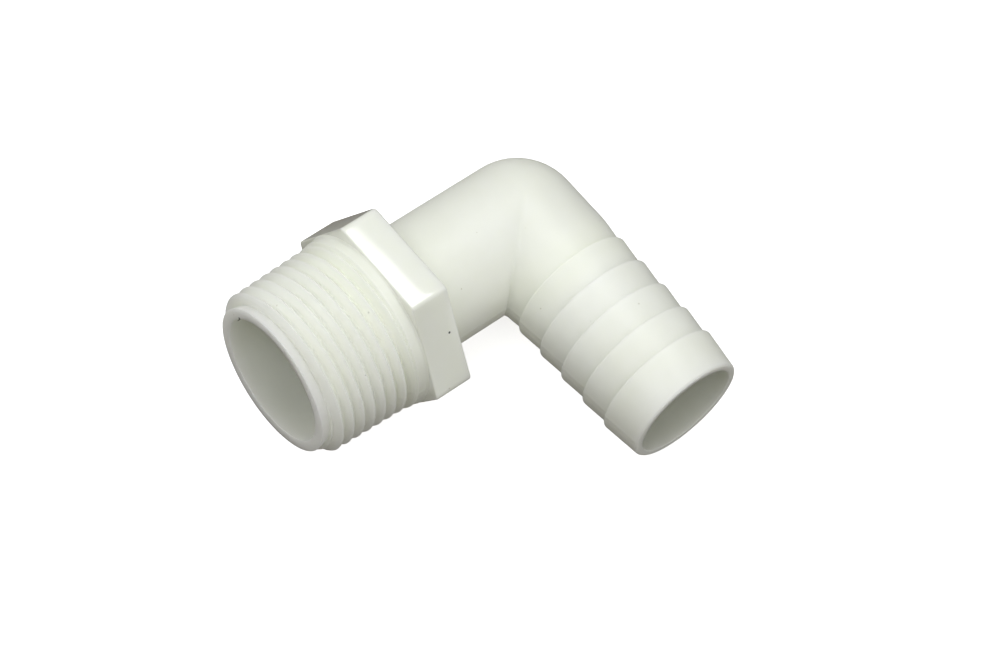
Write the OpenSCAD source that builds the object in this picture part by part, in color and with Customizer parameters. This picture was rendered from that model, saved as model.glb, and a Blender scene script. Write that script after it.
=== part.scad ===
// Ninety degree pipe elbow for a boat's through-hull plumbing, moulded in white nylon.
// One end is a tapered male pipe thread behind a hexagon for a spanner.
// The other end is a tapered hose tail with a row of barbs.
//
// Frame: the origin is on the thread's axis, in the plane of the hexagon's shoulder,
// which is the face that the thread is screwed up to. The thread points along -Y,
// the hose tail points along +X, and both axes lie in the plane Z = 0.

/* [Pipe thread] */
// Threads per inch of the tapered pipe thread
threads_per_inch = 14; // [14, 18]
// Outside diameter of the thread at its small end
thread_small_d = 26.03; // [25:0.01:27]
// Growth of the thread's diameter per unit of length
thread_taper = 0.0625; // [0:0.0125:0.0625]
// Height of the thread from root to crest, as a share of the pitch
thread_height_share = 0.72; // [0.5:0.005:0.72]
// Width of the flat on the thread's crest
crest_flat = 0.12; // [0.05:0.01:0.12]
// Length from the shoulder to the spigot's end face
spigot_len = 17.1; // [14:0.1:22]
// Length of the plain neck between the shoulder and the thread
neck_len = 1.6; // [1:0.1:2.5]
// Diameter of the plain neck
neck_d = 27.25; // [26.5:0.05:27.5]
// Length of the plain rim in front of the thread
rim_len = 1.5; // [1:0.1:3]
// Diameter of the rim at the spigot's mouth
rim_d = 23.2; // [22.8:0.1:23.4]
// Diameter of the rim at its foot, where the thread starts
rim_foot_d = 22.5; // [22:0.1:22.8]
// Diameter of the bore inside the spigot
spigot_bore_d = 19.7; // [17:0.1:20]

/* [Hexagon] */
// Distance across the flats of the hexagon
hex_across_flats = 27.8; // [27.6:0.1:32]
// Length of the hexagon along the thread's axis
hex_len = 6.2; // [4:0.1:10]

/* [Elbow] */
// Distance from the shoulder to the point where the two axes cross
shoulder_to_axis = 27.8; // [22:0.1:40]
// Outside diameter of the tube
tube_d = 20; // [19:0.1:22]
// Diameter of the bore through the tube and the hose tail
tube_bore_d = 16.1; // [12:0.1:17]
// Radius of the fillet where the tube leaves the hexagon
collar_fillet = 0.6; // [0.2:0.1:1.2]

/* [Hose tail] */
// Number of barbs
barb_count = 5; // [3:1:7]
// Distance from one barb to the next
barb_pitch = 4.76; // [3:0.01:6]
// Diameter over the barbs
barb_d = 19.96; // [19.5:0.01:20.5]
// Diameter at the foot of each barb
barb_root_d = 18.9; // [18:0.1:19.4]
// Width of the land on each barb's crest
barb_land = 0.25; // [0.1:0.05:0.5]
// Distance from the elbow's centre to the first barb
axis_to_barbs = 12.65; // [11.5:0.05:20]
// Distance from the elbow's centre to the end of the plain tube
axis_to_neckdown = 8.1; // [6:0.1:10]
// Amount by which the mould's draft narrows the plain tube's diameter on the way there
tube_draft = 0.04; // [0.02:0.01:0.2]
// Distance from the elbow's centre to the mouth of the hose tail
axis_to_mouth = 38; // [37.5:0.1:45]
// Outside diameter just behind the lip of the mouth
mouth_d = 18.5; // [17.5:0.1:18.9]
// Size of the chamfer on the lip of the mouth
lip_chamfer = 0.25; // [0.1:0.05:0.5]

/* [Hidden] */
$fn = 96;

nylon = "#eef0e6";

pitch = 25.4 / threads_per_inch;
thread_height = thread_height_share * pitch;
flank_slope = tan(30);
steps_per_turn = 48;

tube_r = tube_d / 2;
tube_bore_r = tube_bore_d / 2;
spigot_bore_r = spigot_bore_d / 2;
barb_r = barb_d / 2;
barb_root_r = barb_root_d / 2;
neckdown_r = (tube_d - tube_draft) / 2;

hex_back = shoulder_to_axis - hex_len;
hex_corner_r = hex_across_flats / 2 / cos(30);

// The bore steps down inside the hexagon, one third of the way through it.
bore_step_depth = hex_len / 3;
bore_step_len = spigot_bore_r - tube_bore_r;

rim_rounding = 0.1;
thread_end = spigot_len - rim_len;

// Radius of the thread's crest at height z above the shoulder.
function crest_r(z) = thread_small_d / 2 + (spigot_len - z) * thread_taper / 2;

// The ridge's outline from foot to foot, at step i of the helix.
function ridge_outline(i) =
    let (
        angle = 360 * i / steps_per_turn,
        z = pitch * i / steps_per_turn,
        top = crest_r(z),
        half_top = crest_flat / 2,
        half_foot = half_top + thread_height * flank_slope
    )
    [
        for (p = [
            [top - thread_height, -half_foot],
            [top, -half_top],
            [top, half_top],
            [top - thread_height, half_foot]
        ])
            [p[0] * cos(angle), p[0] * sin(angle), z + p[1]]
    ];

// Two triangles that fill the gap between points a, b, c and d, given in turn.
function quad(a, b, c, d) = [[a, b, c], [a, c, d]];

// The right-handed thread and its tapered core as one closed solid. Its ridge's outline is
// swept up the helix, each turn's foot joins the next turn's, and a point on the axis closes
// each end. It is longer than the thread, so that both ends are cut off square.
module threaded_rod() {
    first = -2 * steps_per_turn;
    last = ceil((spigot_len / pitch + 2) * steps_per_turn);
    steps = last - first;
    per_turn = steps_per_turn;
    outline_points = [for (i = [first : last]) each ridge_outline(i)];
    bottom_apex = 4 * (steps + 1);
    top_apex = bottom_apex + 1;
    bottom_edge = [for (i = [0 : per_turn]) 4 * i, 3, 2, 1];
    top_edge = [for (i = [steps - per_turn : steps]) 4 * i + 3, for (k = [2 : -1 : 0]) 4 * steps + k];
    polyhedron(
        points = concat(
            outline_points,
            [[0, 0, pitch * (first / per_turn - 2)], [0, 0, pitch * (last / per_turn + 2)]]
        ),
        faces = concat(
            [
                for (i = [0 : steps - 1], k = [0 : 2])
                    each quad(4 * i + k, 4 * i + k + 1, 4 * (i + 1) + k + 1, 4 * (i + 1) + k)
            ],
            [
                for (i = [0 : steps - per_turn - 1])
                    each quad(4 * i + 3, 4 * (i + per_turn), 4 * (i + per_turn + 1), 4 * (i + 1) + 3)
            ],
            [
                for (j = [0 : len(bottom_edge) - 1])
                    [bottom_apex, bottom_edge[j], bottom_edge[(j + 1) % len(bottom_edge)]]
            ],
            [
                for (j = [0 : len(top_edge) - 1])
                    [top_apex, top_edge[(j + 1) % len(top_edge)], top_edge[j]]
            ]
        )
    );
}

// Puts a shape drawn along +Z from the shoulder onto the thread's axis.
module on_thread_axis() {
    rotate([90, 0, 0]) children();
}

// Puts a shape drawn along +Z from the elbow's centre onto the hose tail's axis.
module on_tail_axis() {
    translate([0, shoulder_to_axis, 0]) rotate([0, 90, 0]) children();
}

// The thread from inside the neck to the rim, cut off square at both ends.
module threaded_stretch() {
    intersection() {
        threaded_rod();
        translate([0, 0, neck_len / 2])
            cylinder(h = thread_end - neck_len / 2, r = thread_small_d);
    }
}

// Plain rim in front of the thread, which widens towards its rounded edge.
module spigot_rim() {
    rim_r = rim_d / 2;
    rotate_extrude()
        polygon([
            [0, thread_end],
            [rim_foot_d / 2, thread_end],
            for (a = [0 : 15 : 90])
                [rim_r - rim_rounding * (1 - cos(a)), spigot_len - rim_rounding * (1 - sin(a))],
            [0, spigot_len]
        ]);
}

module threaded_spigot() {
    color(nylon)
        on_thread_axis()
            difference() {
                union() {
                    cylinder(h = neck_len, r = neck_d / 2);
                    threaded_stretch();
                    spigot_rim();
                }
                translate([0, 0, -1]) cylinder(h = spigot_len + 2, r = spigot_bore_r);
            }
}

// The bore narrows along a short cone, one third of the way through the hexagon.
module hex_collar() {
    color(nylon)
        on_thread_axis()
            translate([0, 0, -hex_len])
                difference() {
                    cylinder(h = hex_len, r = hex_corner_r, $fn = 6);
                    translate([0, 0, -1]) cylinder(h = hex_len + 2, r = tube_bore_r);
                    translate([0, 0, hex_len - bore_step_depth])
                        cylinder(h = bore_step_depth + 1, r = spigot_bore_r);
                    translate([0, 0, hex_len - bore_step_depth - bore_step_len])
                        cylinder(h = bore_step_len, r1 = tube_bore_r, r2 = spigot_bore_r);
                }
}

// Tube from the hexagon to the elbow's centre, the round heel and the tube to the first barb.
module elbow() {
    color(nylon)
        difference() {
            union() {
                on_thread_axis()
                    translate([0, 0, -shoulder_to_axis]) cylinder(h = hex_back, r = tube_r);
                on_thread_axis()
                    translate([0, 0, -hex_len - collar_fillet])
                        cylinder(h = collar_fillet, r1 = tube_r, r2 = tube_r + collar_fillet);
                translate([0, shoulder_to_axis, 0]) sphere(r = tube_r);
                on_tail_axis()
                    rotate_extrude()
                        polygon([
                            [0, 0],
                            [tube_r, 0],
                            [neckdown_r, axis_to_neckdown],
                            [barb_root_r, axis_to_barbs],
                            [0, axis_to_barbs]
                        ]);
            }
            on_thread_axis()
                translate([0, 0, -shoulder_to_axis])
                    cylinder(h = shoulder_to_axis, r = tube_bore_r);
            translate([0, shoulder_to_axis, 0]) sphere(r = tube_bore_r);
            on_tail_axis() cylinder(h = axis_to_barbs + 1, r = tube_bore_r);
        }
}

// Each barb is a steep step towards the elbow and a long taper towards the mouth.
module hose_tail() {
    tail_len = axis_to_mouth - axis_to_barbs;
    last = barb_count - 1;
    color(nylon)
        on_tail_axis()
            translate([0, 0, axis_to_barbs])
                rotate_extrude()
                    polygon([
                        [tube_bore_r, 0],
                        for (i = [0 : last])
                            each [
                                if (i > 0) [barb_root_r, i * barb_pitch],
                                [barb_r, i * barb_pitch],
                                [barb_r, i * barb_pitch + barb_land]
                            ],
                        [mouth_d / 2, tail_len - lip_chamfer],
                        [mouth_d / 2 - lip_chamfer, tail_len],
                        [tube_bore_r, tail_len]
                    ]);
}

threaded_spigot();
hex_collar();
elbow();
hose_tail();
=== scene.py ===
"""Looks for a white nylon plumbing elbow: a male pipe thread, a hexagon and a barbed hose tail.

Every piece is one closed skin, lofted from rings of points around its own bore, and stands for
the CAD node of the same section. Sizes are in metres, in the CAD part's own frame: the thread
points along -Y from the hexagon's shoulder at Y = 0, and the hose tail points along +X.
"""

import math

import bmesh
import bpy
from mathutils import Matrix, Vector


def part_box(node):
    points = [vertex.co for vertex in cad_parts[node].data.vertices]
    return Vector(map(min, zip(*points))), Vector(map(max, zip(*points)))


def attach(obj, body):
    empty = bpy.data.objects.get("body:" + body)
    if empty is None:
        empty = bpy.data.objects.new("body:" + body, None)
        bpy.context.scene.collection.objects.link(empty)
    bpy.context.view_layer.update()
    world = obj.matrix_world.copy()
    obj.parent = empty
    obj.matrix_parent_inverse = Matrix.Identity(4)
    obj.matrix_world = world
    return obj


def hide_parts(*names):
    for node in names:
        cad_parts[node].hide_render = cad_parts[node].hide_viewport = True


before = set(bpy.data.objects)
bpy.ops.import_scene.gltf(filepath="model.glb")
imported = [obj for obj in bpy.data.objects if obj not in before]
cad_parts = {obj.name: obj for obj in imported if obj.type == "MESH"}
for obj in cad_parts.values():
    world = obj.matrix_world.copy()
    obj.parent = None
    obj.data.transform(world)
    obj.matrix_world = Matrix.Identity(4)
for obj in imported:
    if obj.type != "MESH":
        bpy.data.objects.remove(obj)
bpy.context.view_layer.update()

MM = 0.001

# ---------------------------------------------------------------- sizes taken from the frame
spigot_low, spigot_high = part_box("threaded_spigot")
hex_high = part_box("hex_collar")[1]
elbow_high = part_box("elbow")[1]
tail_low, tail_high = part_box("hose_tail")

SPIGOT_LEN = -spigot_low[1]
HEX_LEN = hex_high[1]
HEX_FLAT_R = hex_high[2]
TAIL_Y = (tail_low[1] + tail_high[1]) / 2
TAIL_START = tail_low[0]
TAIL_END = tail_high[0]
BARB_R = tail_high[2]
NECK_R = spigot_high[2]
TUBE_R = elbow_high[1] - TAIL_Y

# ---------------------------------------------------------------- sizes of the moulding's details
SPIGOT_BORE_R = 9.85 * MM
TUBE_BORE_R = 8.05 * MM
BORE_STEP_DEPTH = HEX_LEN / 3

PITCH = 25.4 / 14 * MM
THREAD_SMALL_R = 13.015 * MM
THREAD_TAPER = 1 / 32
THREAD_HEIGHT = 0.72 * PITCH
FLANK_ANGLE = math.radians(30)
CREST_FLAT = 0.12 * MM
# Share of the flank over which the crest's edge is rounded.
CREST_ROUNDING = 0.22
NECK_LEN = 1.6 * MM
# Drop of the radius for each unit of length, where the neck ends.
NECK_SLOPE = 1.2
NECK_FLARE = 0.25 * MM
RIM_LEN = 1.5 * MM
RIM_R = 11.6 * MM
RIM_NARROWING = 0.35 * MM
RIM_ROUNDING = 0.1 * MM
FRONT_ROUNDING = 0.1 * MM
FRONT_LEN = 0.3 * MM
MOUTH_ROUNDING = 0.08 * MM
MOUTH_EDGE_LEN = 0.5 * MM

HEX_EDGE_ROUNDING = 0.3 * MM
# The higher this power is, the sharper the hexagon's corners are.
HEX_CORNER_SHARPNESS = 90
BORE_STEP_ROUNDING = 0.2 * MM

CROTCH_FILLET = 1.0 * MM
# Share of the fillet that is left out right at the crotch.
CROTCH_TIGHTENING = 0.75
NECKDOWN_START = 8.1 * MM
# Power of the curve by which the tube narrows: 1 would be a straight taper.
NECKDOWN_CURVE = 1.3
BARB_ROOT_R = 9.45 * MM
BARB_COUNT = 5
BARB_PITCH = 4.76 * MM
BARB_LAND = 0.25 * MM
BARB_STEP_LEAN = 0.02 * MM
BARB_ROUNDING = 0.09 * MM
BARB_FOOT_ROUNDING = 0.12 * MM
MOUTH_R = 9.25 * MM
LIP_CHAMFER = 0.25 * MM
LIP_BACK_ROUNDING = 0.15 * MM
LIP_FRONT_ROUNDING = 0.05 * MM
LIP_EDGE_LEN = 0.6 * MM

SEAM_HEIGHT = 0.05 * MM
SEAM_HALF_WIDTH = 0.16 * MM

# ---------------------------------------------------------------- spacing of the meshes' points
MERGE_DISTANCE = 0.0005 * MM
# Bends in degrees above which an edge is shaded as an edge.
CRISP_EDGE = 50
CRISP_HEX_EDGE = 40
# Points round each ring.
SPIGOT_COLUMNS = 192
ELBOW_COLUMNS = 160
TAIL_COLUMNS = 176
# Columns beside the parting line, in half widths of it.
SEAM_COLUMNS = (-1.5, -0.75, 0.75, 1.5)
# Distances in millimetres from the middle of a crest towards the root, closest where it bends.
CREST_STEPS = (0, 0.05, 0.11, 0.18, 0.28, 0.42, 0.56, 0.66, 0.74, 0.81, 0.86)
# Distances in millimetres along the front end of the thread, closest at its rounded edge.
FRONT_STEPS = (0.05, 0.1, 0.14, 0.18, 0.215, 0.245, 0.27, 0.288, 0.297, 0.3)
# Angles in degrees from a corner of the hexagon to just before the middle of its flat.
HEX_CORNER_STEPS = (0, 0.4, 0.8, 1.2, 1.7, 2.4, 3.5, 5, 7, 9.5, 12.5, 16, 20, 25)
HEX_EDGE_STEPS = 5
# The flare of the tube into the hexagon: (share of the way to it, growth in millimetres).
COLLAR_FLARE = ((1, 0.55), (0.994, 0.4), (0.986, 0.22), (0.976, 0.08), (0.962, 0))
# Steps along the elbow's two legs, along its bore and round its bend.
LEG_STEPS = 12
TAIL_STEPS = 16
BORE_STEPS = 8
BEND_STEPS = 14


# ---------------------------------------------------------------- mesh building
def ring_angles(count, seam_r):
    """Angles around an axis, evenly spaced, with extra ones where the mould's halves meet."""
    angles = {360 * i / count for i in range(count)}
    for side in (0, 180):
        for step in SEAM_COLUMNS:
            angles.add((side + math.degrees(step * SEAM_HALF_WIDTH / seam_r)) % 360)
    return [math.radians(a) for a in sorted(angles)]


def seam_bump(angle, radius):
    """Height of the mould's parting line at this angle: a low ridge on both sides of the elbow."""
    across = radius * math.sin(angle)
    return SEAM_HEIGHT * math.exp(-((across / SEAM_HALF_WIDTH) ** 2))


def on_thread_axis(distance, angle, radius):
    """A point at this distance from the shoulder towards the spigot's mouth."""
    return Vector((radius * math.cos(angle), -distance, radius * math.sin(angle)))


def on_tail_axis(distance, angle, radius):
    """A point at this distance from the elbow's centre towards the hose tail's mouth."""
    return Vector((distance, TAIL_Y - radius * math.cos(angle), radius * math.sin(angle)))


def rounded_path(corners, steps=4):
    """Points along a path of (distance, radius, rounding) corners, each corner cut to an arc."""
    path = []
    most_of_side = 0.45
    for i, (distance, radius, rounding) in enumerate(corners):
        here = Vector((distance, radius))
        if rounding == 0 or i in (0, len(corners) - 1):
            path.append(here)
            continue
        before = Vector(corners[i - 1][:2]) - here
        after = Vector(corners[i + 1][:2]) - here
        cut_before = min(rounding, before.length * most_of_side)
        cut_after = min(rounding, after.length * most_of_side)
        start = here + before.normalized() * cut_before
        end = here + after.normalized() * cut_after
        for k in range(steps + 1):
            t = k / steps
            path.append(start * (1 - t) ** 2 + here * 2 * t * (1 - t) + end * t**2)
    return path


def revolved_rings(path, place, angles, bore_r=math.inf):
    """One ring for each point of the path; the parting line shows outside the bore only."""
    rings = []
    for distance, radius in path:
        outside = radius > bore_r + SEAM_HEIGHT
        bumps = [seam_bump(a, radius) if outside else 0.0 for a in angles]
        rings.append([place(distance, a, radius + bump) for a, bump in zip(angles, bumps)])
    return rings


def closed_skin(name, rings, sheared=None):
    """A closed mesh through rings of points; the last ring joins the first.

    sheared is (first ring, last ring, rings per turn) for a stretch whose rings climb a helix:
    where such a ring comes round, it meets the ring that is one turn further on.
    """
    mesh = bmesh.new()
    verts = [[mesh.verts.new(point) for point in ring] for ring in rings]
    columns = len(rings[0])
    first, last, per_turn = sheared or (len(rings), -1, 0)

    def vert(k, i):
        k = k % len(rings)
        if i < columns:
            return verts[k][i]
        if first <= k <= last:
            k = min(k + per_turn, last)
        return verts[k][0]

    for k in range(len(rings)):
        for i in range(columns):
            corners = (vert(k, i), vert(k, i + 1), vert(k + 1, i + 1), vert(k + 1, i))
            unique = list(dict.fromkeys(corners))
            if len(unique) > 2:
                mesh.faces.new(unique)
    bmesh.ops.remove_doubles(mesh, verts=mesh.verts, dist=MERGE_DISTANCE)
    bmesh.ops.dissolve_degenerate(mesh, edges=mesh.edges, dist=MERGE_DISTANCE)
    bmesh.ops.recalc_face_normals(mesh, faces=mesh.faces)
    data = bpy.data.meshes.new(name)
    mesh.to_mesh(data)
    mesh.free()
    data.shade_smooth()
    skin = bpy.data.objects.new(name, data)
    bpy.context.collection.objects.link(skin)
    return skin


def keep_edges_crisp(skin, degrees):
    """Shades edges that bend by more than this as edges, and the rest as one smooth surface."""
    skin.data.set_sharp_from_angle(angle=math.radians(degrees))


# ---------------------------------------------------------------- threaded spigot
def crest_r(z):
    """Radius of the thread's crest at this distance from the shoulder."""
    return THREAD_SMALL_R + (SPIGOT_LEN - z) * THREAD_TAPER


def soft_ramp(t, blend):
    """Rises from 0 with t, its corner at t = 0 rounded over blend."""
    if t <= -blend:
        return 0.0
    if t < blend:
        return (t + blend) ** 2 / (4 * blend)
    return t


def ridge_share(from_crest):
    """Height of the thread's ridge, as a share, at this distance from the middle of its crest."""
    flank = THREAD_HEIGHT * math.tan(FLANK_ANGLE)
    root_flat = PITCH / 2 - CREST_FLAT / 2 - flank
    share = (CREST_FLAT / 2 + flank - abs(from_crest)) / flank
    if share < 0.5:
        return soft_ramp(share, root_flat / flank)
    return 1 - soft_ramp(1 - share, CREST_ROUNDING)


def threaded_r(z, angle):
    """Outside radius of the threaded stretch, from the neck to the rounded front edge.

    The neck ends in a slope, which the thread's last crest runs out on.
    """
    from_crest = (z - PITCH * angle / math.tau + PITCH / 2) % PITCH - PITCH / 2
    radius = crest_r(z) - THREAD_HEIGHT * (1 - ridge_share(from_crest))
    past_edge = max(z - (SPIGOT_LEN - RIM_LEN - FRONT_ROUNDING), 0.0)
    radius -= FRONT_ROUNDING - math.sqrt(max(FRONT_ROUNDING**2 - past_edge**2, 0.0))
    neck = NECK_R - (z - NECK_LEN) * NECK_SLOPE
    return max(radius, neck)


def make_threaded_spigot():
    """The plain neck with its flare, the thread and the rim, round the spigot's bore."""
    angles = ring_angles(SPIGOT_COLUMNS, THREAD_SMALL_R)
    offsets = [step * MM for step in CREST_STEPS] + [PITCH / 2]
    offsets += [PITCH - step * MM for step in reversed(CREST_STEPS[1:])]
    per_turn = len(offsets)

    thread_end = SPIGOT_LEN - RIM_LEN
    helix_end = thread_end - FRONT_LEN
    neck_path = rounded_path([
        (0, SPIGOT_BORE_R, 0),
        (0, NECK_R + NECK_FLARE, 0),
        (NECK_FLARE, NECK_R, NECK_FLARE / 2),
        (NECK_LEN, NECK_R, 0),
    ])
    rim_path = rounded_path([
        (thread_end, RIM_R - RIM_NARROWING, RIM_ROUNDING),
        (SPIGOT_LEN, RIM_R, RIM_ROUNDING),
        (SPIGOT_LEN, SPIGOT_BORE_R, MOUTH_ROUNDING),
        (SPIGOT_LEN - MOUTH_EDGE_LEN, SPIGOT_BORE_R, 0),
    ])

    def thread_ring(heights):
        """One ring round the thread, with a distance from the shoulder for each angle."""
        ring = []
        for a, z in zip(angles, heights):
            radius = threaded_r(z, a)
            ring.append(on_thread_axis(z, a, radius + seam_bump(a, radius)))
        return ring

    turns = math.ceil(helix_end / PITCH) + 1
    starts = [PITCH * turn + offset for turn in range(-1, turns) for offset in offsets]
    helix = [
        thread_ring([min(max(start + PITCH * a / math.tau, NECK_LEN), helix_end) for a in angles])
        for start in starts
        if start > NECK_LEN - PITCH
    ]
    front = [thread_ring([helix_end + step * MM] * len(angles)) for step in FRONT_STEPS]

    rings = revolved_rings(neck_path, on_thread_axis, angles, SPIGOT_BORE_R)
    first = len(rings)
    rings += helix + front
    rings += revolved_rings(rim_path, on_thread_axis, angles, SPIGOT_BORE_R)
    skin = closed_skin("threaded_spigot_skin", rings, (first, first + len(helix) - 1, per_turn))
    keep_edges_crisp(skin, CRISP_EDGE)
    return skin


# ---------------------------------------------------------------- hexagon
def hexagon_r(angle):
    """Radius of a hexagon with slightly rounded corners, one of them at angle 0."""
    total = 0.0
    for side in range(6):
        facing = math.cos(angle - math.radians(30 + 60 * side))
        if facing > 0:
            total += facing**HEX_CORNER_SHARPNESS
    return HEX_FLAT_R / total ** (1 / HEX_CORNER_SHARPNESS)


def hexagon_angles():
    """Angles round the hexagon, closer together near its corners."""
    before_middle = [60 - step for step in reversed(HEX_CORNER_STEPS[1:])]
    side = [*HEX_CORNER_STEPS, 30, *before_middle]
    return [math.radians(60 * k + step) for k in range(6) for step in side]


def quarter_turn(steps):
    """Angles from 0 to 90 degrees, in radians."""
    return [math.pi / 2 * k / steps for k in range(steps + 1)]


def make_hex_collar():
    """The hexagon with its rounded edges, round the step of the bore."""
    angles = hexagon_angles()
    edge = HEX_EDGE_ROUNDING
    turns = quarter_turn(HEX_EDGE_STEPS)
    rounding = [(edge * (1 - math.sin(t)), edge * (1 - math.cos(t))) for t in turns]
    back_edge = [(-HEX_LEN + drop, inset) for drop, inset in reversed(rounding)]
    front_edge = [(-drop, inset) for drop, inset in rounding]
    rings = []
    for distance, inset in back_edge + front_edge:
        rings.append([on_thread_axis(distance, a, hexagon_r(a) - inset) for a in angles])
    bore_path = rounded_path([
        (0, SPIGOT_BORE_R, 0),
        (-BORE_STEP_DEPTH, SPIGOT_BORE_R, BORE_STEP_ROUNDING),
        (-BORE_STEP_DEPTH - (SPIGOT_BORE_R - TUBE_BORE_R), TUBE_BORE_R, BORE_STEP_ROUNDING),
        (-HEX_LEN, TUBE_BORE_R, 0),
    ])
    rings += revolved_rings(bore_path, on_thread_axis, angles)
    skin = closed_skin("hex_collar_skin", rings)
    keep_edges_crisp(skin, CRISP_HEX_EDGE)
    return skin


# ---------------------------------------------------------------- elbow
def neckdown_r(distance):
    """Outside radius of the tube, which narrows smoothly to the foot of the first barb."""
    along = min(max((distance - NECKDOWN_START) / (TAIL_START - NECKDOWN_START), 0.0), 1.0)
    return TUBE_R - (TUBE_R - BARB_ROOT_R) * along**NECKDOWN_CURVE


def crotch_fillet(angle):
    """Radius of the fillet inside the bend: tight at the crotch, softer up the sides."""
    facing = max(math.cos(angle), 0.0)
    return CROTCH_FILLET * math.sqrt(facing) * (1 - CROTCH_TIGHTENING * facing**4)


def elbow_rings(leg_shares, tail_shares, tube_r, tail_r, angles, seam):
    """Rings along a tube round the bend: a round heel outside, a mitre with a small fillet inside.

    Angle 0 faces the inside of the bend on both legs. leg_shares are (share, extra) pairs, from
    the hexagon's back at share 1 to the bend at 0, with the growth of the radius there.
    tail_shares run from the bend at 0 to the first barb at 1. tail_r gives the tail leg's radius.
    """
    rings = []
    for share, extra in leg_shares:
        ring = []
        for a in angles:
            inner = tube_r * math.cos(a)
            stop = max(inner, 0.0) + crotch_fillet(a)
            along = stop + (TAIL_Y - HEX_LEN - stop) * share
            radius = tube_r + extra + (seam_bump(a, tube_r) if seam else 0.0)
            ring.append(Vector((radius * math.cos(a), TAIL_Y - along, radius * math.sin(a))))
        rings.append(ring)
    for k in range(1, BEND_STEPS):
        turn = math.pi / 2 * k / BEND_STEPS
        ring = []
        for a in angles:
            inner = tube_r * math.cos(a)
            bump = seam_bump(a, tube_r) if seam else 0.0
            if inner > 0:
                fillet = crotch_fillet(a)
                narrowed = tail_r(inner + fillet)
                tail_inner = narrowed * math.cos(a)
                x = tail_inner + fillet * (1 - math.cos(turn)) + bump * math.cos(turn)
                along = inner + fillet * (1 - math.sin(turn)) + bump * math.sin(turn)
                z = (tube_r + (narrowed - tube_r) * k / BEND_STEPS) * math.sin(a)
            else:
                grown = inner - bump
                x = grown * math.cos(turn)
                along = grown * math.sin(turn)
                z = (tube_r + bump) * math.sin(a)
            ring.append(Vector((x, TAIL_Y - along, z)))
        rings.append(ring)
    for share in tail_shares:
        ring = []
        for a in angles:
            inner = tube_r * math.cos(a)
            stop = max(inner, 0.0) + crotch_fillet(a)
            along = stop + (TAIL_START - stop) * share
            radius = tail_r(along)
            radius += seam_bump(a, radius) if seam else 0.0
            ring.append(on_tail_axis(along, a, radius))
        rings.append(ring)
    return rings


def make_elbow():
    """The tube from the hexagon's back round the bend to the first barb."""
    angles = ring_angles(ELBOW_COLUMNS, TUBE_R)
    flare = [(share, growth * MM) for share, growth in COLLAR_FLARE]
    straight = [(i / LEG_STEPS, 0) for i in reversed(range(LEG_STEPS))]
    tail = [i / TAIL_STEPS for i in range(TAIL_STEPS + 1)]
    outside = elbow_rings(flare + straight, tail, TUBE_R, neckdown_r, angles, True)
    bore_tail = [i / BORE_STEPS for i in range(BORE_STEPS + 1)]
    bore_leg = [(share, 0) for share in reversed(bore_tail)]
    inside = elbow_rings(bore_leg, bore_tail, TUBE_BORE_R, lambda distance: TUBE_BORE_R, angles, False)
    skin = closed_skin("elbow_skin", outside + inside[::-1])
    keep_edges_crisp(skin, CRISP_EDGE)
    return skin


# ---------------------------------------------------------------- hose tail
def make_hose_tail():
    """The barbs, each a steep step and a long taper, and the lip of the mouth."""
    angles = ring_angles(TAIL_COLUMNS, BARB_R)
    corners = [(TAIL_START, TUBE_BORE_R, 0)]
    for i in range(BARB_COUNT):
        step = TAIL_START + i * BARB_PITCH
        if i > 0:
            corners.append((step, BARB_ROOT_R, BARB_FOOT_ROUNDING))
        corners.append((step + BARB_STEP_LEAN, BARB_R, BARB_ROUNDING))
        corners.append((step + BARB_LAND, BARB_R, BARB_ROUNDING))
    corners += [
        (TAIL_END - LIP_CHAMFER, MOUTH_R, LIP_BACK_ROUNDING),
        (TAIL_END, MOUTH_R - LIP_CHAMFER, LIP_FRONT_ROUNDING),
        (TAIL_END, TUBE_BORE_R, MOUTH_ROUNDING),
        (TAIL_END - LIP_EDGE_LEN, TUBE_BORE_R, 0),
        (TAIL_START, TUBE_BORE_R, 0),
    ]
    rings = revolved_rings(rounded_path(corners), on_tail_axis, angles, TUBE_BORE_R)
    skin = closed_skin("hose_tail_skin", rings)
    keep_edges_crisp(skin, CRISP_EDGE)
    return skin


# ---------------------------------------------------------------- material
WHITE = (1, 1, 1, 1)
DULL_NYLON = (0.855, 0.87, 0.785, 1)
CLEAR_NYLON = (0.885, 0.902, 0.825, 1)
FINE_GRIT = (0.7, 0.68, 0.62, 1)
CLOUD_SIZE = 9 * MM
CLOUD_EDGES = (0.35, 0.65)
GRIT_SIZE = 0.5 * MM
GRIT_EDGES = (0.86, 0.89)
# Painted shade inside the bores: their walls are darkened to this share, fading out over the next
# depth.
BORE_PAINTED_SHADE = 0.85
BORE_PAINTED_SHADE_FADE = 0.05 * MM
# Painted light at the foot of the thread's grooves: their colour is lightened by this factor to lift
# the shade there.
GROOVE_PAINTED_LIGHT = 1.04
# Share of the thread's height at which the painted light at the foot of the grooves starts.
GROOVE_PAINTED_LIGHT_START = 0.2
# Share of a speck's radius within which it has its full tone.
SPECK_CORE = 0.6

NYLON_IOR = 1.53
SATIN_SIZE = 1.6 * MM
SATIN_ROUGHNESS = (0.34, 0.5)
GRAIN_SIZE = 0.35 * MM
GRAIN_DEPTH = 0.02 * MM
GRAIN_STRENGTH = 0.5
COAT_IOR = 1.8
COAT_ROUGHNESS = 0.1
LEAST_SPREAD = 0.005 * MM
# How far red, green and blue light wander, as shares of the spread.
SPREAD_BY_COLOUR = (1.0, 1.0, 0.95)
# Shift of the noise from one piece to the next.
SEED_STEP = 3.7

ALONG_THREAD = Vector((0, 1, 0))
ALONG_TAIL = Vector((1, 0, 0))
SHOULDER_CENTRE = Vector((0, 0, 0))
ELBOW_CENTRE = Vector((0, TAIL_Y, 0))


def set_stops(blend, positions, colours):
    """Gives the two ends of a colour ramp node their positions and colours."""
    for stop, position, colour in zip(blend.color_ramp.elements, positions, colours):
        stop.position = position
        stop.color = colour


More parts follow.
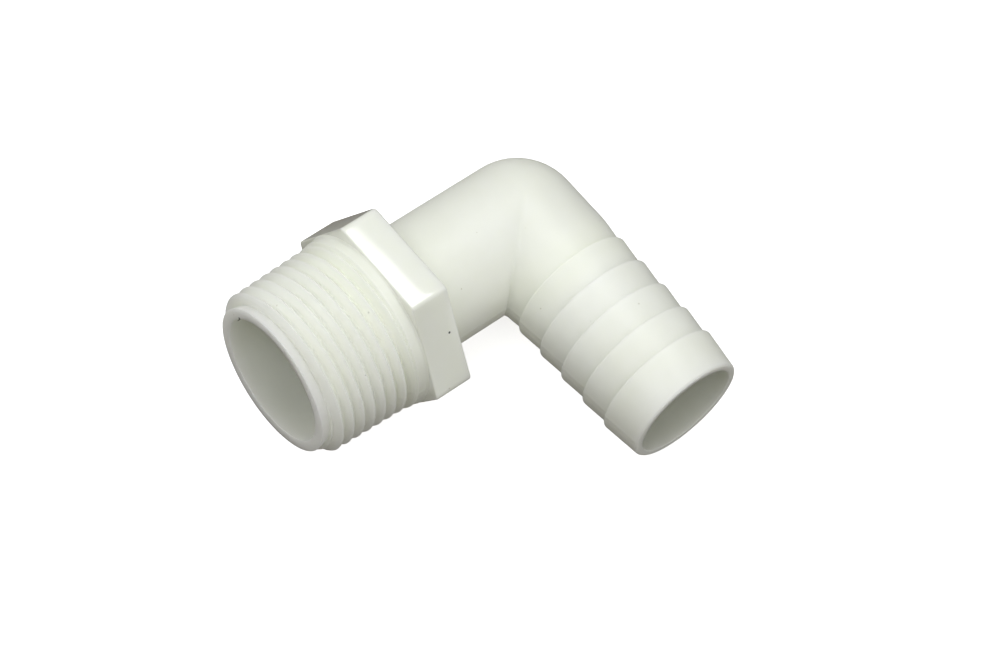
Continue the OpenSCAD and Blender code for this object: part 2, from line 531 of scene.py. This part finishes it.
def nylon(name, seed, look):
    """Moulded white nylon: slightly green-grey, see-through at its edges, with a fine satin skin.

    The look holds:
    spread: how far light wanders inside.
    joints: the (axis, centre, radius) discs where this piece meets its neighbours. Light stops
        there, so it is kept from wandering near them.
    coat: share of the skin that has a clear, glossy coat, as a face polished in the mould has.
    bore: the (axis, centre, radius) of a straight bore, whose wall is painted a little darker: painted
    shade inside the bore.
    grooves: whether the foot of the thread's grooves is painted a little lighter, painted light that
    lifts the shade there.
    specks: (position, radius, tone) inclusions.
    A piece that leaves out bore, grooves or specks doesn't have them.
    """
    material = bpy.data.materials.new(name)
    material.use_nodes = True
    nodes = material.node_tree.nodes
    links = material.node_tree.links
    shader = nodes["Principled BSDF"]
    place = nodes.new("ShaderNodeTexCoord")

    def math_node(operation, first, second):
        node = nodes.new("ShaderNodeMath")
        node.operation = operation
        for socket, value in zip(node.inputs, (first, second)):
            if isinstance(value, float):
                socket.default_value = value
            else:
                links.new(value, socket)
        return node.outputs["Value"]

    def vector_node(operation, first, second=None):
        node = nodes.new("ShaderNodeVectorMath")
        node.operation = operation
        links.new(first, node.inputs[0])
        if second is not None:
            node.inputs[1].default_value = second
        gives_number = operation in ("LENGTH", "DISTANCE", "DOT_PRODUCT")
        return node.outputs["Value" if gives_number else "Vector"]

    def from_axis(axis, centre):
        """Distance from the axis through this centre."""
        offset = vector_node("SUBTRACT", place.outputs["Object"], centre)
        return vector_node("LENGTH", vector_node("MULTIPLY", offset, Vector((1, 1, 1)) - axis))

    def map_range(value, from_range, to_range):
        """Maps one range onto the other, and holds the end values outside it."""
        node = nodes.new("ShaderNodeMapRange")
        node.inputs["From Min"].default_value, node.inputs["From Max"].default_value = from_range
        node.inputs["To Min"].default_value, node.inputs["To Max"].default_value = to_range
        links.new(value, node.inputs["Value"])
        return node.outputs["Result"]

    def multiply(first, second):
        """One colour darkened or lightened by the other, or by a grey value."""
        node = nodes.new("ShaderNodeMix")
        node.data_type = "RGBA"
        node.blend_type = "MULTIPLY"
        node.inputs["Factor"].default_value = 1.0
        links.new(first, node.inputs["A"])
        links.new(second, node.inputs["B"])
        return node.outputs["Result"]

    def noise(size, detail):
        """Noise with blots of about this size and so many finer layers over them."""
        texture = nodes.new("ShaderNodeTexNoise")
        texture.noise_dimensions = "4D"
        texture.inputs["Scale"].default_value = 1 / size
        texture.inputs["Detail"].default_value = detail
        texture.inputs["W"].default_value = seed
        links.new(place.outputs["Object"], texture.inputs["Vector"])
        return texture.outputs["Fac"]

    def ramp(value, positions, colours):
        """Fades from the first colour to the second between two positions of the value."""
        blend = nodes.new("ShaderNodeValToRGB")
        set_stops(blend, positions, colours)
        links.new(value, blend.inputs["Fac"])
        return blend.outputs["Color"]

    clouded = ramp(noise(CLOUD_SIZE, 3), CLOUD_EDGES, (DULL_NYLON, CLEAR_NYLON))
    colour = multiply(clouded, ramp(noise(GRIT_SIZE, 0), GRIT_EDGES, (WHITE, FINE_GRIT)))
    for position, radius, tone in look.get("specks", []):
        distance = vector_node("DISTANCE", place.outputs["Object"], position)
        spot = map_range(distance, (radius * SPECK_CORE, radius), (tone, 1.0))
        colour = multiply(colour, spot)
    # Painted shade: the wall of the bore is darkened.
    if "bore" in look:
        axis, centre, radius = look["bore"]
        wall = (radius, radius + BORE_PAINTED_SHADE_FADE)
        colour = multiply(colour, map_range(from_axis(axis, centre), wall, (BORE_PAINTED_SHADE, 1.0)))
    # Painted light: the foot of the thread's grooves is lightened.
    if look.get("grooves"):
        growth = vector_node("DOT_PRODUCT", place.outputs["Object"], ALONG_THREAD * THREAD_TAPER)
        crest = math_node("ADD", growth, crest_r(0))
        depth = math_node("SUBTRACT", crest, from_axis(ALONG_THREAD, SHOULDER_CENTRE))
        foot = (THREAD_HEIGHT * GROOVE_PAINTED_LIGHT_START, THREAD_HEIGHT)
        colour = multiply(colour, map_range(depth, foot, (1.0, GROOVE_PAINTED_LIGHT)))
    links.new(colour, shader.inputs["Base Color"])

    satin = map_range(noise(SATIN_SIZE, 4), (0.0, 1.0), SATIN_ROUGHNESS)
    links.new(satin, shader.inputs["Roughness"])

    bump = nodes.new("ShaderNodeBump")
    bump.inputs["Distance"].default_value = GRAIN_DEPTH
    bump.inputs["Strength"].default_value = GRAIN_STRENGTH
    links.new(noise(GRAIN_SIZE, 5), bump.inputs["Height"])
    links.new(bump.outputs["Normal"], shader.inputs["Normal"])

    reach = None
    for axis, centre, radius in look["joints"]:
        offset = vector_node("SUBTRACT", place.outputs["Object"], centre)
        along = vector_node("LENGTH", vector_node("MULTIPLY", offset, axis))
        gap = math_node("MAXIMUM", along, math_node("SUBTRACT", from_axis(axis, centre), radius))
        reach = gap if reach is None else math_node("MINIMUM", reach, gap)
    spread = look["spread"]
    wandering = map_range(reach, (0.0, 2 * spread), (LEAST_SPREAD, spread))
    links.new(wandering, shader.inputs["Subsurface Scale"])
    shader.inputs["Subsurface Weight"].default_value = 1.0
    shader.inputs["Subsurface Radius"].default_value = SPREAD_BY_COLOUR
    shader.inputs["IOR"].default_value = NYLON_IOR
    shader.inputs["Coat Weight"].default_value = look["coat"]
    shader.inputs["Coat IOR"].default_value = COAT_IOR
    shader.inputs["Coat Roughness"].default_value = COAT_ROUGHNESS
    return material


# ---------------------------------------------------------------- stage, light and camera
FLOOR_SIZE = 8.0
FLOOR_SQUARES = 8
FLOOR_GLOW = 0.7
FLOOR_ROUGHNESS = 0.9
PAPER = (0.95, 0.95, 0.95, 1)

# Angles are in degrees, and the lens and the sensor in millimetres.
AIM = Vector((8.9, 18.5, -7.9)) * MM
CAMERA_DISTANCE = 445.9 * MM
CAMERA_AZIMUTH = 39.3
CAMERA_ELEVATION = 58.3
CAMERA_ROLL = 13.25
LENS = 109.85
SENSOR_WIDTH = 36
NEAREST_SEEN = 0.01

STUDIO_BELOW = (0.12, 0.108, 0.09, 1)
STUDIO_ABOVE = (0.38, 0.378, 0.368, 1)
# Heights, from 0 straight down to 1 straight up, between which the two tones blend.
STUDIO_EDGES = (0.2, 0.8)
LIGHT_DISTANCE = 0.7
# The lights: name, azimuth, elevation, width in metres, power in watts and colour.
LIGHTS = (
    ("overhead_softbox", -125, 78, 0.45, 1.75, (0.97, 1, 1)),
    ("front_fill", 5, 55, 0.4, 1.0, (0.98, 1, 1)),
    ("tail_side_fill", 83, 33, 0.4, 0.84, (1, 1, 1)),
    ("low_side_fill", -64, 14, 0.4, 0.76, (1, 1, 1)),
    ("back_fill", 160, 50, 0.4, 0.2, (1, 1, 1)),
)


def rest_tilt():
    """Angle at which the part lies: on the hexagon's back edge and along the tube."""
    run = TAIL_Y - HEX_LEN
    return math.atan2(HEX_FLAT_R, run) - math.asin(TUBE_R / math.hypot(HEX_FLAT_R, run))


def make_floor():
    """A pale floor under the part. It doesn't light the part or show in its gloss."""
    data = bpy.data.meshes.new("floor")
    mesh = bmesh.new()
    bmesh.ops.create_grid(
        mesh, x_segments=FLOOR_SQUARES, y_segments=FLOOR_SQUARES, size=FLOOR_SIZE / 2
    )
    mesh.to_mesh(data)
    mesh.free()
    floor = bpy.data.objects.new("floor", data)
    bpy.context.collection.objects.link(floor)
    floor.location = (0, HEX_LEN, -HEX_FLAT_R)
    floor.rotation_euler = (rest_tilt(), 0, 0)
    material = bpy.data.materials.new("floor_paper")
    material.use_nodes = True
    shader = material.node_tree.nodes["Principled BSDF"]
    shader.inputs["Base Color"].default_value = PAPER
    shader.inputs["Roughness"].default_value = FLOOR_ROUGHNESS
    shader.inputs["Emission Color"].default_value = WHITE
    shader.inputs["Emission Strength"].default_value = FLOOR_GLOW
    floor.visible_diffuse = False
    floor.visible_glossy = False
    data.materials.append(material)


def view_direction(azimuth, elevation):
    """Unit vector towards a viewer: azimuth 0 is at -Y and grows towards +X."""
    az = math.radians(azimuth)
    el = math.radians(elevation)
    return Vector((math.sin(az) * math.cos(el), -math.cos(az) * math.cos(el), math.sin(el)))


def make_camera():
    """A long lens from above, which sees the top of the elbow and into both mouths."""
    data = bpy.data.cameras.new("camera")
    data.lens = LENS
    data.sensor_width = SENSOR_WIDTH
    data.clip_start = NEAREST_SEEN
    camera = bpy.data.objects.new("camera", data)
    bpy.context.collection.objects.link(camera)
    towards = view_direction(CAMERA_AZIMUTH, CAMERA_ELEVATION)
    roll = Matrix.Rotation(math.radians(CAMERA_ROLL), 3, "Z")
    turn = towards.to_track_quat("Z", "Y").to_matrix() @ roll
    camera.matrix_world = Matrix.Translation(AIM + towards * CAMERA_DISTANCE) @ turn.to_4x4()
    bpy.context.scene.camera = camera


def make_light(name, azimuth, elevation, size, power, colour):
    """A round soft light that faces the part from this direction."""
    data = bpy.data.lights.new(name, "AREA")
    data.shape = "DISK"
    data.size = size
    data.energy = power
    data.color = colour
    light = bpy.data.objects.new(name, data)
    bpy.context.collection.objects.link(light)
    towards = view_direction(azimuth, elevation)
    turn = towards.to_track_quat("Z", "Y").to_matrix().to_4x4()
    light.matrix_world = Matrix.Translation(AIM + towards * LIGHT_DISTANCE) @ turn


def make_studio():
    """Soft lights in a dim room, whose lower half is darker and browner than its upper half."""
    scene = bpy.context.scene
    scene.view_settings.view_transform = "Standard"
    world = bpy.data.worlds.new("studio")
    world.use_nodes = True
    nodes = world.node_tree.nodes
    links = world.node_tree.links
    place = nodes.new("ShaderNodeTexCoord")
    axes = nodes.new("ShaderNodeSeparateXYZ")
    links.new(place.outputs["Generated"], axes.inputs["Vector"])
    room = nodes.new("ShaderNodeValToRGB")
    set_stops(room, STUDIO_EDGES, (STUDIO_BELOW, STUDIO_ABOVE))
    height = nodes.new("ShaderNodeMapRange")
    height.inputs["From Min"].default_value = -1
    links.new(axes.outputs["Z"], height.inputs["Value"])
    links.new(height.outputs["Result"], room.inputs["Fac"])
    links.new(room.outputs["Color"], nodes["Background"].inputs["Color"])
    scene.world = world
    for light in LIGHTS:
        make_light(*light)


# ---------------------------------------------------------------- the four pieces
skins = {
    "threaded_spigot": make_threaded_spigot(),
    "hex_collar": make_hex_collar(),
    "elbow": make_elbow(),
    "hose_tail": make_hose_tail(),
}
slots = {
    "threaded_spigot": "spigot_nylon",
    "hex_collar": "hexagon_nylon",
    "elbow": "elbow_nylon",
    "hose_tail": "tail_nylon",
}
shoulder = (ALONG_THREAD, SHOULDER_CENTRE, NECK_R + NECK_FLARE)
hexagon_back = (ALONG_THREAD, ALONG_THREAD * HEX_LEN, TUBE_R)
tail_foot = (ALONG_TAIL, ELBOW_CENTRE + ALONG_TAIL * TAIL_START, BARB_ROOT_R)
looks = {
    "threaded_spigot": {
        "spread": 4 * MM,
        "joints": [shoulder],
        "coat": 0.0,
        "bore": (ALONG_THREAD, SHOULDER_CENTRE, SPIGOT_BORE_R),
        "grooves": True,
        "specks": [
            (Vector((-9.61, -15.68, 2.17)) * MM, 0.45 * MM, 0.03),
            (Vector((-8.0, -17.0, 5.9)) * MM, 0.32 * MM, 0.03),
            (Vector((4.2, -4.42, 12.05)) * MM, 0.2 * MM, 0.75),
            (Vector((10.32, -9.34, 8.24)) * MM, 0.17 * MM, 0.75),
            (Vector((10.97, -14.98, 7.12)) * MM, 0.2 * MM, 0.75),
        ],
    },
    "hex_collar": {
        "spread": 3 * MM,
        "joints": [shoulder, hexagon_back],
        "coat": 1.0,
        "bore": (ALONG_THREAD, SHOULDER_CENTRE, SPIGOT_BORE_R),
        "specks": [(Vector((11.52, 4.69, 7.85)) * MM, 0.22 * MM, 0.08)],
    },
    "elbow": {
        "spread": 2.2 * MM,
        "joints": [hexagon_back, tail_foot],
        "coat": 0.0,
    },
    "hose_tail": {
        "spread": 2.2 * MM,
        "joints": [tail_foot],
        "coat": 0.0,
        "bore": (ALONG_TAIL, ELBOW_CENTRE, TUBE_BORE_R),
    },
}
for number, (node, skin) in enumerate(skins.items()):
    skin.data.materials.append(nylon(slots[node], number * SEED_STEP, looks[node]))
    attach(skin, "root")
    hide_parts(node)

make_floor()
make_camera()
make_studio()
